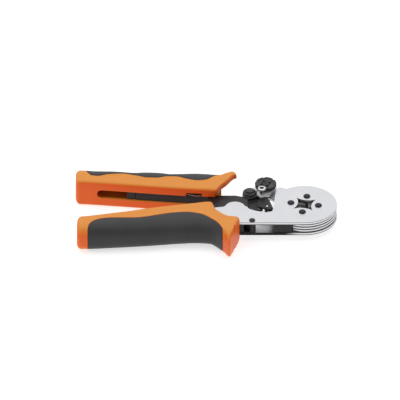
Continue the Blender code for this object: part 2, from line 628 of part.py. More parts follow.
MOVING_STATIONS = [
    (1.0, 23.5, 35.0, 0.72), (0.99, 21.0, 37.6, 0.9), (0.965, 20.2, 38.5, 1),
    (0.88, 19.1, 37.0, 1), (0.80, 18.1, 37.2, 1), (0.725, 17.1, 36.8, 1), (0.64, 16.0, 35.6, 1),
    (0.56, 14.9, 36.3, 1), (0.49, 14.0, 36.1, 1), (0.40, 12.9, 34.4, 1), (0.32, 12.0, 34.9, 1),
    (0.25, 11.4, 35.3, 1), (0.17, 10.8, 34.6, 1), (0.125, 10.4, 33.4, 1), (0.09, 15.8, 32.3, 1),
    (0.05, 21.7, 33.4, 1), (0.022, 26.6, 33.2, 1), (-0.008, 28.6, 30.8, 0.94)]
FIXED_STATIONS = [
    (0.987, -33.0, -23.0, 0.72), (0.978, -35.3, -21.2, 0.9), (0.95, -36.2, -19.3, 1),
    (0.86, -36.0, -17.3, 1), (0.76, -35.4, -15.0, 1), (0.66, -34.7, -12.8, 1),
    (0.56, -33.9, -10.0, 1), (0.46, -32.8, -7.6, 1), (0.36, -31.6, -5.6, 1),
    (0.25, -30.9, -3.4, 1), (0.17, -31.8, -1.9, 1), (0.15, -32.4, -2.4, 1),
    (0.13, -33.3, -9.4, 1), (0.10, -36.2, -13.6, 1), (0.07, -40.0, -16.7, 1),
    (0.04, -45.0, -18.5, 1), (0.02, -39.5, -18.7, 1), (0.0, -32.0, -19.0, 1),
    (-0.025, -24.6, -19.4, 0.95)]


def pad_outline(corners, outward):
    """The pad's edge on the handle, closed well outside the handle."""
    points = [(grip_x(share), y) for share, y in corners]
    return points + [(points[-1][0], outward), (points[0][0], outward)]


def smooth_run(points, steps=2):
    """Catmull-Rom curve through a run of points."""
    run = [Vector(p) for p in points]
    run = [run[0] * 2 - run[1], *run, run[-1] * 2 - run[-2]]
    out = []
    for a, b, c, d in zip(run, run[1:], run[2:], run[3:]):
        for k in range(steps):
            t = k / steps
            p = 0.5 * (2 * b + (c - a) * t + (2 * a - 5 * b + 4 * c - d) * t * t
                       + (3 * b - a - 3 * c + d) * t ** 3)
            out.append(tuple(p))
    return out + [tuple(run[-2])]


MOVING_PAD = [(0.938, 33.0), (0.90, 27.4), (0.858, 26.7), (0.797, 28.7), (0.709, 29.6),
              (0.628, 27.4), (0.547, 24.8), (0.49, 24.6), (0.424, 26.3), (0.37, 26.2),
              (0.303, 23.3), (0.235, 21.5), (0.187, 22.2), (0.14, 26.1), (0.092, 31.2)]
FIXED_PAD = [(0.913, -33.0), (0.885, -27.4), (0.838, -23.6), (0.763, -22.1), (0.628, -22.1),
             (0.56, -21.0), (0.458, -18.0), (0.39, -16.4), (0.302, -15.5), (0.22, -17.5),
             (0.153, -22.6), (0.106, -28.7), (0.08, -36.0)]


def make_handle(prefix, stations, pad_corners, outward, pockets, axis, collections):
    """A hard handle with a soft pad let into its outer side, and pockets for the steel."""
    parts, cutters = collections
    run = smooth_run([(x, y) for x, y in pad_corners])
    region = pad_outline(run, outward)
    reach = 2 * GRIP_CROWN
    pad_cut = as_mesh(plate(prefix + "_pad_cut", region, [], -reach, reach, RUBBER, axis, cutters))
    seat_cut = as_mesh(plate(prefix + "_seat_cut", grown(region, PAD_GAP), [], -reach, reach, RUBBER,
                             axis, cutters))
    core = loft(prefix + "_core_cut", grip_sections(stations, PAD_T), ORANGE, axis, cutters)
    inner = loft(prefix + "_seat_core", grip_sections(stations, PAD_T + PAD_GAP), ORANGE, axis, cutters)
    combine(seat_cut, inner, "DIFFERENCE")
    body = loft(prefix + "_grip_body", grip_sections(stations), ORANGE, axis, parts)
    combine(body, seat_cut, "DIFFERENCE")
    for pocket in pockets:
        combine(body, pocket, "DIFFERENCE")
    pad = loft(prefix + "_grip_pad", grip_sections(stations), RUBBER, axis, parts)
    combine(pad, pad_cut, "INTERSECT")
    combine(pad, core, "DIFFERENCE")
    for cutter in (pad_cut, seat_cut, core, inner, *pockets):
        hide_cutter(cutter)


def make_handles(frame_axis, lever_axis, collections):
    cutters = collections[1]
    pocket_half = PLATE_TOP + 0.3
    fixed_pocket = as_mesh(plate("fixed_pocket", grown(frame_outline(), PAD_GAP), [], -pocket_half,
                                 pocket_half, STEEL, frame_axis, cutters))
    make_handle("fixed", FIXED_STATIONS, FIXED_PAD, -60.0, [fixed_pocket], frame_axis, collections)
    slot_half = UPPER_TOP + PAD_GAP
    upper, lower = lever_strip()
    roof = [(-34.0, 24.0), (-44.0, 19.2)] + [(x, y) for x, y, _ in upper]
    floor = [(SLOT_END_X, 28.0), (SLOT_END_X, -10.0), (-34.0, -10.0)]
    slot = as_mesh(plate("moving_slot", grown(roof + floor, 2 * PAD_GAP), [], -slot_half, slot_half,
                         STEEL, lever_axis, cutters))
    first, last = NOTCH_X
    notch_plan = [(first, -10.0), (last, -10.0), (last, 14.6), (first, 14.6)]
    notch = as_mesh(plate("clip_notch", notch_plan, [], UPPER_TOP, NOTCH_TOP, STEEL, lever_axis,
                          cutters))
    below_horn = [(-59.4, -10.0), (-30.0, -10.0), (-30.0, 45.0), (-55.0, 45.0), (-55.0, 28.5),
                  (-59.4, 28.5)]
    horn_gap = as_mesh(plate("horn_gap", below_horn, [], -2 * GRIP_CROWN, HORN_LOW, STEEL, lever_axis,
                             cutters))
    make_handle("moving", MOVING_STATIONS, MOVING_PAD, 60.0, [slot, notch, horn_gap], lever_axis,
                collections)
    make_tang_clip(lever_axis, collections[0])
    last = LEVER_END_X - PAD_GAP
    first = last - RETAINER_LENGTH
    low, high = lower[0][1] + 0.5, upper[-1][1] - 0.9
    block = [(first, low), (last, low), (last, high), (first, high)]
    plate("tang_retainer", block, [], -UPPER_TOP + 0.2, UPPER_TOP - 0.2, DARK_STEEL, lever_axis,
          collections[0])


def make_tang_clip(axis, collection):
    """A bent leaf spring in the notch, lying on the lever's tang and rising to the notch's end."""
    first, last = NOTCH_X
    lower, upper, thick = UPPER_TOP + 0.3, NOTCH_TOP - 1.0, 0.4
    run = [(last - 0.4, lower), (last - 4.4, lower), (first + 0.5, upper)]
    side = run + [(x, z + thick) for x, z in reversed(run)]
    clip = plate("tang_clip", side, [], 11.9, 14.1, SPRING_STEEL, axis, collection)
    clip.location.z = 0
    clip.location.y += (11.9 + 14.1) / 2 * MM
    clip.rotation_euler.x = math.radians(90)


# ---- Assembly ---------------------------------------------------------------------------------
def set_down(root, parts):
    """Put the origin under the middle of the tool's footprint."""
    bpy.context.view_layer.update()
    graph = bpy.context.evaluated_depsgraph_get()
    corners = []
    for obj in parts.objects:
        evaluated = obj.evaluated_get(graph)
        mesh = evaluated.to_mesh()
        corners += [evaluated.matrix_world @ v.co for v in mesh.vertices]
        evaluated.to_mesh_clear()
    low = Vector(min(c[i] for c in corners) for i in range(3))
    high = Vector(max(c[i] for c in corners) for i in range(3))
    root.location = (-(low.x + high.x) / 2, -(low.y + high.y) / 2, -low.z)
    bpy.context.view_layer.update()


def main():
    for obj in list(bpy.data.objects):
        bpy.data.objects.remove(obj)
    parts = bpy.data.collections.new("crimping_tool")
    cutters = bpy.data.collections.new("cutters")
    for collection in (parts, cutters):
        bpy.context.scene.collection.children.link(collection)
    root = bpy.data.objects.new("tool_root", None)
    bpy.context.scene.collection.objects.link(root)

    frame_axis = axis_empty("frame_axis", (0, 0), root)
    ring_axis = axis_empty("ring_axis", (0, 0), root)
    lever_axis = axis_empty("lever_axis", LEVER_PIVOT, root)
    link_axis = axis_empty("link_axis", LINK_PIVOT, root)
    wheel_axis = axis_empty("wheel_axis", WHEEL_AXIS, root)
    screw_axis = axis_empty("lock_screw_axis", LOCK_SCREW_AXIS, root)
    pawl_axis = axis_empty("pawl_axis", PAWL_PIVOT, root)

    post = make_frame(frame_axis, parts)
    make_ring(ring_axis, parts)
    make_wheel(wheel_axis, parts)
    make_lock_screw(screw_axis, parts)
    for number, angle in enumerate(JAW_ANGLES, 1):
        pivot = polar(JAW_PIN_CIRCLE_R, angle)
        make_jaw(number, angle, axis_empty(f"jaw_axis_{number}", pivot, root), parts)
    make_lever(lever_axis, parts)
    make_link(link_axis, parts)
    make_pawl(pawl_axis, parts)
    make_handles(frame_axis, lever_axis, (parts, cutters))

    hook = Vector((*LINK_SPRING_POST, 0))
    anchor = Vector((*post, 0))
    along = (anchor - hook).normalized()
    coil("return_spring", hook + along * 3.4, anchor - along * 2.2, RETURN_SPRING_R, RETURN_WIRE_R,
         15, SPRING_STEEL, frame_axis, parts)
    spring_z = (UPPER_LOW + UPPER_TOP) / 2
    hook = Vector((*PAWL_HOOK, spring_z))
    anchor = Vector((-27.0, 14.0, spring_z))
    along = (anchor - hook).normalized()
    coil("pawl_spring", hook + along * 1.2, anchor - along * 0.8, PAWL_SPRING_R, PAWL_WIRE_R, 13,
         SPRING_STEEL, ring_axis, parts)
    set_down(root, parts)


main()
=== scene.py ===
"""Looks of the square four-jaw crimping tool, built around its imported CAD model."""
import json
import math

import bmesh
import bpy
import numpy as np
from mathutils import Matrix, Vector


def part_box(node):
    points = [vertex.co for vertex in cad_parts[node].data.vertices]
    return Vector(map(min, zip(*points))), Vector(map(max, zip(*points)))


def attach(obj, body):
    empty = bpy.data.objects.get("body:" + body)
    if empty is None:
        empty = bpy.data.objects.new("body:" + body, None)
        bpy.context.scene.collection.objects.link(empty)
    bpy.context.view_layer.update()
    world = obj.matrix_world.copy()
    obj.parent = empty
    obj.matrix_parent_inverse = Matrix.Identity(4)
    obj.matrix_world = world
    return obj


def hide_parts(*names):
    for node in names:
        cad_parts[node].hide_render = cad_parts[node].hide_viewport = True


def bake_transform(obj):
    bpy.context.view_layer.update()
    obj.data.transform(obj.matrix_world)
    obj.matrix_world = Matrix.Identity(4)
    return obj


MM = 0.001

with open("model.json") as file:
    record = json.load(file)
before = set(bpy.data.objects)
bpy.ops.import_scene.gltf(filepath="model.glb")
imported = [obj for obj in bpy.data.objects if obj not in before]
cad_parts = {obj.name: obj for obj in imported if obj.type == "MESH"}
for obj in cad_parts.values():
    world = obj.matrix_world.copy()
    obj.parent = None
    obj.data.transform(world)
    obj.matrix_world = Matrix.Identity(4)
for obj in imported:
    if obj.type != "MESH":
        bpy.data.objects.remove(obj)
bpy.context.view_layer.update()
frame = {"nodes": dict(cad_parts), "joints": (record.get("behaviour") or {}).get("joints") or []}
NODES = frame["nodes"]
JOINTS = {joint["name"]: joint for joint in frame["joints"]}
DIE = Vector(JOINTS["cam_ring_turn"]["pos_m"])   # centre of the die, the zero of all layouts here


def at(x, y, z=0.0):
    """A place given in millimetres from the centre of the die."""
    return DIE + Vector((x, y, z)) * MM


def pivot(joint):
    """A joint's axis, in millimetres from the centre of the die."""
    place = (Vector(JOINTS[joint]["pos_m"]) - DIE) / MM
    return place.x, place.y


def level(node):
    """Lowest and highest level of a CAD node, in millimetres from the mid-plane."""
    low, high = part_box(node)
    return (low.z - DIE.z) / MM, (high.z - DIE.z) / MM


# ---- Materials --------------------------------------------------------------------------------
SHADED_RIM_SHARE = 0.77    # share of the bottom plate's length, from the handle, whose rim is painted black as shade
RIM_BLEND = 0.06          # share over which that painted shade fades out


def new_material(name):
    made = bpy.data.materials.new(name)
    made.use_nodes = True
    nodes, links = made.node_tree.nodes, made.node_tree.links
    return made, nodes, links, nodes["Principled BSDF"]


def noise(nodes, links, scale, detail=4.0, stretch=(1, 1, 1), roughness=0.5):
    """Noise over the object's own space, so it does not slide when the object moves."""
    where = nodes.new("ShaderNodeTexCoord")
    mapping = nodes.new("ShaderNodeMapping")
    mapping.inputs["Scale"].default_value = stretch
    texture = nodes.new("ShaderNodeTexNoise")
    texture.inputs["Scale"].default_value = scale
    texture.inputs["Detail"].default_value = detail
    texture.inputs["Roughness"].default_value = roughness
    links.new(where.outputs["Object"], mapping.inputs["Vector"])
    links.new(mapping.outputs["Vector"], texture.inputs["Vector"])
    return texture.outputs["Fac"]


def ramp(nodes, links, value, stops):
    made = nodes.new("ShaderNodeValToRGB")
    links.new(value, made.inputs["Fac"])
    elements = made.color_ramp.elements
    while len(elements) < len(stops):
        elements.new(0.5)
    for element, (position, colour) in zip(elements, stops):
        element.position = position
        element.color = (*colour, 1.0)
    return made.outputs["Color"]


def remap(nodes, links, value, low, high, start=0.0, end=1.0):
    made = nodes.new("ShaderNodeMapRange")
    made.inputs["From Min"].default_value = start
    made.inputs["From Max"].default_value = end
    made.inputs["To Min"].default_value = low
    made.inputs["To Max"].default_value = high
    links.new(value, made.inputs["Value"])
    return made.outputs["Result"]


def bump(nodes, links, shader, height, strength, distance, into=None):
    made = nodes.new("ShaderNodeBump")
    made.inputs["Strength"].default_value = strength
    made.inputs["Distance"].default_value = distance
    links.new(height, made.inputs["Height"])
    if into is not None:
        links.new(into, made.inputs["Normal"])
    links.new(made.outputs["Normal"], shader.inputs["Normal"])
    return made.outputs["Normal"]


def edge_mask(nodes, links, radius):
    """About 0 on flats and towards 1 where an edge turns outwards."""
    bevel = nodes.new("ShaderNodeBevel")
    bevel.samples = 4
    bevel.inputs["Radius"].default_value = radius
    geometry = nodes.new("ShaderNodeNewGeometry")
    dot = nodes.new("ShaderNodeVectorMath")
    dot.operation = "DOT_PRODUCT"
    links.new(bevel.outputs["Normal"], dot.inputs[0])
    links.new(geometry.outputs["Normal"], dot.inputs[1])
    return remap(nodes, links, dot.outputs["Value"], 0.0, 1.0, 0.999, 0.90)


def mix_colour(nodes, links, factor, first, second):
    made = nodes.new("ShaderNodeMix")
    made.data_type = "RGBA"
    links.new(factor, made.inputs["Factor"])
    for socket, colour in ((made.inputs[6], first), (made.inputs[7], second)):
        if isinstance(colour, tuple):
            socket.default_value = (*colour, 1.0)
        else:
            links.new(colour, socket)
    return made.outputs[2]


def facing_up(nodes, links, start, end):
    """0 on faces that stand upright in the object's own space and 1 on flat ones."""
    where = nodes.new("ShaderNodeTexCoord")
    split = nodes.new("ShaderNodeSeparateXYZ")
    links.new(where.outputs["Normal"], split.inputs[0])
    size = nodes.new("ShaderNodeMath")
    size.operation = "ABSOLUTE"
    links.new(split.outputs["Z"], size.inputs[0])
    return remap(nodes, links, size.outputs[0], 0.0, 1.0, start, end)


def share_along(nodes, links, axis):
    """Position along an axis of the object's own box, from 0 to 1."""
    where = nodes.new("ShaderNodeTexCoord")
    split = nodes.new("ShaderNodeSeparateXYZ")
    links.new(where.outputs["Generated"], split.inputs[0])
    return split.outputs[axis]


def painted_rim_light_and_shade(nodes, links, painted_shade_to):
    """Painted light on a cut edge: a highlight between dark arrises, and black shade along a share
    of its length.
    """
    # Painted highlight across the middle of the edge's height, painted shade at its arrises.
    grey = [(0.0, (0.03,) * 3), (0.16, (0.07,) * 3), (0.34, (0.50, 0.50, 0.52)),
            (0.62, (0.80, 0.80, 0.82)), (0.80, (0.34, 0.34, 0.36)), (0.93, (0.06,) * 3)]
    rim = ramp(nodes, links, share_along(nodes, links, "Z"), grey)
    if not painted_shade_to:
        return rim
    # Painted shade: the rim is black up to the given share of its length from the handle, then
    # fades into the painted highlight.
    along = share_along(nodes, links, "X")
    lit = remap(nodes, links, along, 0.0, 1.0, painted_shade_to, painted_shade_to + RIM_BLEND)
    return mix_colour(nodes, links, lit, (0.02, 0.018, 0.02), rim)


def steel_material(name, light, dark, rough_low, rough_high, rim=None, metallic=1.0):
    """Bright steel with faint lengthwise grinding lines and cloudy plating. Given rim, the share
    of its length painted black as shade, its upright sides get a painted highlight between
    painted dark arrises."""
    made, nodes, links, shader = new_material(name)
    cloud = noise(nodes, links, 55, 3)
    colour = ramp(nodes, links, cloud, [(0.3, dark), (0.7, light)])
    if rim is not None:
        # Upright sides take the painted rim highlight and shade; flat faces keep the plating.
        colour = mix_colour(nodes, links, facing_up(nodes, links, 0.3, 0.8),
                            painted_rim_light_and_shade(nodes, links, rim), colour)
    links.new(colour, shader.inputs["Base Color"])
    lines = noise(nodes, links, 260, 3, (0.05, 1.0, 1.0))
    links.new(remap(nodes, links, lines, rough_low, rough_high), shader.inputs["Roughness"])
    shader.inputs["Metallic"].default_value = metallic
    bump(nodes, links, shader, lines, 0.02, 0.00004)
    return made


def oxide_material(name, colour, worn, rough_low, rough_high):
    """Black oxide: satin, slightly uneven, rubbed lighter on its edges."""
    made, nodes, links, shader = new_material(name)
    cloud = noise(nodes, links, 220, 4)
    lighter = tuple(c * 1.5 for c in colour)
    body = ramp(nodes, links, cloud, [(0.3, colour), (0.75, lighter)])
    edges = edge_mask(nodes, links, 0.0003)
    links.new(mix_colour(nodes, links, edges, body, worn), shader.inputs["Base Color"])
    links.new(remap(nodes, links, cloud, rough_low, rough_high), shader.inputs["Roughness"])
    shader.inputs["Metallic"].default_value = 0.2
    shader.inputs["Specular IOR Level"].default_value = 0.35
    fine = noise(nodes, links, 1800, 2)
    bump(nodes, links, shader, fine, 0.15, 0.00003)
    return made


def plastic_material(name, colour, side):
    """Moulded handle plastic: spark-eroded grain, a slight mottle, and painted light: flats paler,
    sides redder and darker as painted shade.
    """
    made, nodes, links, shader = new_material(name)
    mottle = noise(nodes, links, 90, 4)
    stops = [(0.25, tuple(c * 0.94 for c in colour)), (0.75, colour)]
    flats = ramp(nodes, links, mottle, stops)
    # Painted shade: upright sides take the redder, darker side colour; flat faces keep the paler
    # colour.
    sides = mix_colour(nodes, links, facing_up(nodes, links, 0.25, 0.95), side, flats)
    links.new(sides, shader.inputs["Base Color"])
    grain = noise(nodes, links, 2600, 2)
    links.new(remap(nodes, links, grain, 0.36, 0.50), shader.inputs["Roughness"])
    bump(nodes, links, shader, grain, 0.22, 0.00005)
    shader.inputs["Specular IOR Level"].default_value = 0.28
    shader.inputs["Subsurface Weight"].default_value = 0.04
    shader.inputs["Subsurface Radius"].default_value = (0.6, 0.25, 0.1)
    shader.inputs["Subsurface Scale"].default_value = 0.002
    return made


def rubber_material(name, colour, light):
    """Soft grip: matt, finely pebbled, a little dusty on its high spots."""
    made, nodes, links, shader = new_material(name)
    dust = noise(nodes, links, 70, 5)
    links.new(ramp(nodes, links, dust, [(0.35, colour), (0.8, light)]), shader.inputs["Base Color"])
    pebble = noise(nodes, links, 1500, 3)
    links.new(remap(nodes, links, pebble, 0.52, 0.70), shader.inputs["Roughness"])
    bump(nodes, links, shader, pebble, 0.35, 0.00008)
    shader.inputs["Sheen Weight"].default_value = 0.12
    shader.inputs["Sheen Roughness"].default_value = 0.5
    return made


PLATING = (0.62, 0.62, 0.64), (0.575, 0.585, 0.605)
# Both plate finishes paint a highlight and dark arrises on upright cut edges; the bottom plate's
# also paints its rim black as shade along most of its length.
NICKEL = steel_material("nickel_plate", *PLATING, 0.28, 0.38, rim=0.0)
NICKEL_SHADED_RIM = steel_material("nickel_plate_shaded_rim", *PLATING, 0.28, 0.38, rim=SHADED_RIM_SHARE)
# A satin copy of the plating, made pale and nearly non-metallic: painted light on the lock plate,
# which lies in the wheel's shade.
SATIN_PAINTED_LIGHT = steel_material("nickel_satin_painted_light", (0.84, 0.84, 0.85), (0.80, 0.80, 0.81), 0.40, 0.50,
                       metallic=0.1)
BRIGHT = steel_material("bright_screw", (0.66, 0.66, 0.67), (0.58, 0.58, 0.60), 0.16, 0.26)
SPRING = steel_material("spring_wire", (0.62, 0.62, 0.64), (0.45, 0.45, 0.48), 0.18, 0.32)
OXIDE = oxide_material("black_oxide", (0.012, 0.011, 0.012), (0.07, 0.065, 0.07), 0.30, 0.42)
JAW = oxide_material("jaw_steel", (0.12, 0.108, 0.108), (0.30, 0.28, 0.28), 0.26, 0.4)
# The second colour is painted shade for the handles' upright sides.
ORANGE = plastic_material("orange_plastic", (0.74, 0.27, 0.035), (0.74, 0.12, 0.012))
RIVET = oxide_material("rivet_black", (0.012, 0.010, 0.012), (0.04, 0.036, 0.04), 0.24, 0.34)
KNOB = oxide_material("knob_black", (0.034, 0.032, 0.034), (0.10, 0.095, 0.10), 0.34, 0.46)
RUBBER = rubber_material("black_soft_grip", (0.014, 0.0128, 0.0145), (0.023, 0.0215, 0.0235))


# ---- Carried-over CAD pieces ------------------------------------------------------------------
def dress(node, material, bevel):
    """Give a CAD node its finish, with its edges broken by a small bevel."""
    obj = NODES[node]
    obj.data.materials.clear()
    obj.data.materials.append(material)
    for face in obj.data.polygons:
        face.use_smooth = True
    weld = obj.modifiers.new("Weld", "WELD")
    weld.merge_threshold = 1e-6
    flat = obj.modifiers.new("Flats", "DECIMATE")
    flat.decimate_type = "DISSOLVE"
    flat.angle_limit = math.radians(0.5)
    edge = obj.modifiers.new("Edges", "BEVEL")
    edge.width = bevel * MM
    edge.segments = 2
    edge.limit_method = "ANGLE"
    edge.angle_limit = math.radians(40)
    flat_faces = obj.modifiers.new("Normals", "WEIGHTED_NORMAL")
    flat_faces.weight = 100
    flat_faces.keep_sharp = True


# ---- Helpers for new pieces -------------------------------------------------------------------
def new_object(name, mesh, material, body, *replaced):
    mesh.materials.clear()
    mesh.materials.append(material)
    obj = bpy.data.objects.new(name, mesh)
    bpy.context.scene.collection.objects.link(obj)
    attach(obj, body)
    if replaced:
        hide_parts(*replaced)
    return obj


def smooth_line(points, where):
    """Monotone cubic through (position, value) points, read at an array of positions."""
    xs, ys = np.array(sorted(points)).T
    steps, rises = np.diff(xs), np.diff(ys) / np.diff(xs)
    slopes = np.zeros_like(ys)
    for i in range(1, len(xs) - 1):
        if rises[i - 1] * rises[i] > 0:
            slopes[i] = 2 * rises[i - 1] * rises[i] / (rises[i - 1] + rises[i])
    slopes[0], slopes[-1] = rises[0], rises[-1]
    where = np.clip(where, xs[0], xs[-1])
    k = np.clip(np.searchsorted(xs, where) - 1, 0, len(steps) - 1)
    t = (where - xs[k]) / steps[k]
    return ((1 + 2 * t) * (1 - t) ** 2 * ys[k] + t * (1 - t) ** 2 * steps[k] * slopes[k]
            + t * t * (3 - 2 * t) * ys[k + 1] + t * t * (t - 1) * steps[k] * slopes[k + 1])


def mesh_from(made, name, sharp=None):
    """Finish a bmesh as a mesh: faces outwards, smooth, with edges over the sharp angle kept."""
    bmesh.ops.remove_doubles(made, verts=made.verts, dist=1e-6)
    bmesh.ops.dissolve_degenerate(made, edges=made.edges, dist=1e-6)
    bmesh.ops.recalc_face_normals(made, faces=made.faces)
    mesh = bpy.data.meshes.new(name)
    made.to_mesh(mesh)
    made.free()
    mesh.shade_smooth()
    if sharp:
        mesh.set_sharp_from_angle(angle=math.radians(sharp))
    return mesh


def grid_mesh(name, rows, sharp=None, place=at):
    """Closed mesh over rows of points; each row is a ring, and the first and last are capped."""
    made = bmesh.new()
    rings = [[made.verts.new(place(*p)) for p in row] for row in rows]
    for ring, following in zip(rings, rings[1:]):
        for j in range(len(ring)):
            k = (j + 1) % len(ring)
            made.faces.new((ring[j], ring[k], following[k], following[j]))
    made.faces.new(rings[0])
    made.faces.new(rings[-1][::-1])
    return mesh_from(made, name, sharp)


def joined(first, second):
    """Both meshes as one, as separate closed shells."""
    made = bmesh.new()
    made.from_mesh(first)
    made.from_mesh(second)
    made.to_mesh(first)
    made.free()
    bpy.data.meshes.remove(second)
    return first


# ---- Handles ----------------------------------------------------------------------------------
GRIP_ROOT_X, GRIP_LENGTH = -46.0, 106.6
HALF_T = 9.6              # half thickness of the handles
PAD_SINK = 1.2            # depth of the bed that a soft pad lies in
SLOT_HALF = level("lever_plate_top")[1] + 0.3
SLOT_START = -138.3
DIAGONAL_X = -59.5        # from here the inner side runs out to the horn
HORN_X = -55.3            # from here only the horn goes on
HORN_LOW = 5.4            # level of the horn's underside
WEB_SHARE = 0.3           # share of the lower half's thickness kept beyond the diagonal
CAVITY_HALF = 7.1         # half height of the hollow behind the slot
SKIN = 2.2                # thickness of the wall that the slot is cut in
NOTCH_X = (-78.9, -68.4)
NOTCH_TOP = 5.6

# Stations: share of the handle's length, its inner and outer edge, share of its thickness.
MOVING_STATIONS = [
    (1.0, 19.9, 38.9, 1), (0.965, 19.9, 38.7, 1),
    (0.88, 19.1, 37.2, 1), (0.80, 18.1, 37.2, 1), (0.725, 17.1, 36.8, 1), (0.64, 16.0, 35.6, 1),
    (0.56, 14.9, 36.3, 1), (0.49, 14.0, 36.1, 1), (0.40, 12.9, 34.4, 1), (0.32, 12.0, 34.9, 1),
    (0.25, 11.4, 35.3, 1), (0.17, 10.8, 34.6, 1), (0.125, 10.4, 33.4, 1), (0.09, 15.8, 32.3, 1),
    (0.05, 21.7, 33.4, 1), (0.022, 26.6, 33.6, 1), (0.006, 28.6, 32.2, 0.98),
    (-0.008, 29.0, 30.0, 0.94)]
FIXED_STATIONS = [
    (0.987, -19.4, -36.6, 1), (0.95, -19.0, -36.4, 1),
    (0.86, -17.3, -36.0, 1), (0.76, -15.0, -35.4, 1), (0.66, -12.8, -34.7, 1),
    (0.56, -10.0, -33.9, 1), (0.46, -7.6, -32.8, 1), (0.36, -5.6, -31.6, 1),
    (0.25, -3.4, -30.9, 1), (0.17, -1.9, -31.8, 1), (0.15, -2.4, -32.4, 1),
    (0.13, -9.4, -33.3, 1), (0.10, -13.6, -36.2, 1), (0.07, -16.7, -40.0, 1),
    (0.04, -18.5, -45.0, 1), (0.02, -18.7, -39.5, 1), (0.0, -19.0, -32.0, 1),
    (-0.025, -19.4, -24.6, 0.95)]
MOVING_PAD = [(0.938, 33.0), (0.90, 27.4), (0.858, 26.7), (0.797, 28.7), (0.709, 29.6),
              (0.628, 27.4), (0.547, 24.8), (0.49, 24.6), (0.424, 26.3), (0.37, 26.2),
              (0.303, 23.3), (0.235, 21.5), (0.187, 22.2), (0.14, 26.1), (0.092, 31.2)]
FIXED_PAD = [(0.92, -33.6), (0.913, -30.8), (0.895, -27.2), (0.865, -24.4), (0.82, -22.8),
             (0.763, -22.1), (0.628, -22.1), (0.56, -21.0), (0.458, -18.0), (0.39, -16.4),
             (0.302, -15.5), (0.22, -17.5), (0.153, -22.6), (0.106, -28.7), (0.08, -34.4)]


def grip_x(share):
    return GRIP_ROOT_X - GRIP_LENGTH * share


def half_section(inner, outer, half_t, shoulder, corner):
    """A section's upper half in (y, z), from the middle of its outer side over its top to the
    middle of its inner side: a round shoulder, a flat top, a tight corner and a flat inner side."""
    side = 1 if outer > inner else -1
    turn = np.linspace(0, math.pi / 2, 60)
    round_y = outer - side * shoulder * (1 - np.cos(turn) ** 0.8)
    round_z = half_t * np.sin(turn) ** 0.8
    top_y = np.linspace(outer - side * shoulder, inner + side * corner, 30)[1:-1]
    corner_y = inner + side * corner * (1 - np.sin(turn))
    corner_z = half_t - corner * (1 - np.cos(turn))
    face_z = np.linspace(half_t - corner, 0, 30)[1:]
    y = np.concatenate([round_y, top_y, corner_y, np.full(len(face_z), inner)])
    z = np.concatenate([round_z, np.full(len(top_y), half_t), corner_z, face_z])
    return y, z


class Section:
    """One section of a handle, read by the distance s along its upper half."""

    def __init__(self, inner, outer, half_t, shoulder, corner):
        self.side = 1 if outer > inner else -1
        self.inner, self.half_t, self.corner = inner, half_t, corner
        self.y, self.z = half_section(inner, outer, half_t, shoulder, corner)
        steps = np.hypot(np.diff(self.y), np.diff(self.z))
        self.s = np.concatenate([[0], np.cumsum(steps)])
        self.corner_start = self.at_y(inner + self.side * corner)
        self.corner_end = self.s[-1] - (half_t - corner)

    def at_y(self, y):
        """Distance at which the round shoulder or the top crosses y."""
        order = self.side * (self.y[0] - self.y)
        return float(np.interp(self.side * (self.y[0] - y), order, self.s))

    def point(self, s, height):
        """Point at s, lifted by height along the section's normal."""
        y, z = np.interp(s, self.s, self.y), np.interp(s, self.s, self.z)
        before, after = abs(s - 0.2), min(s + 0.2, self.s[-1])
        mirrored = -1 if s < 0.2 else 1
        dy = np.interp(after, self.s, self.y) - np.interp(before, self.s, self.y)
        dz = np.interp(after, self.s, self.z) - mirrored * np.interp(before, self.s, self.z)
        length = math.hypot(dy, dz)
        return y + self.side * height * dz / length, z - self.side * height * dy / length


def lip_height(outside):
    """Height of the hard shell near the pad's edge: a small bead, then the pad's bed."""
    return float(np.interp(outside, [-0.22, -0.12, 0, 0.3, 0.6, 1.1],
                           [-PAD_SINK, -0.35, 0.04, 0.2, 0.16, 0]))


def pad_height(inside):
    """Height of the soft pad near its own edge: tucked into the groove, then a little proud."""
    return float(np.interp(inside, [0.22, 0.3, 0.5, 0.9], [-0.5, -0.06, 0.12, 0.2]))


def slot_half(x, upper):
    """Half width of the slot in the moving handle, with its round end, notch and open mouth."""
    if x < SLOT_START:
        return 0.0
    if x > DIAGONAL_X:
        return HORN_LOW
    if upper and NOTCH_X[0] < x < NOTCH_X[1]:
        return NOTCH_TOP
    run = min(x - SLOT_START, SLOT_HALF)
    return math.sqrt(SLOT_HALF ** 2 - (SLOT_HALF - run) ** 2)


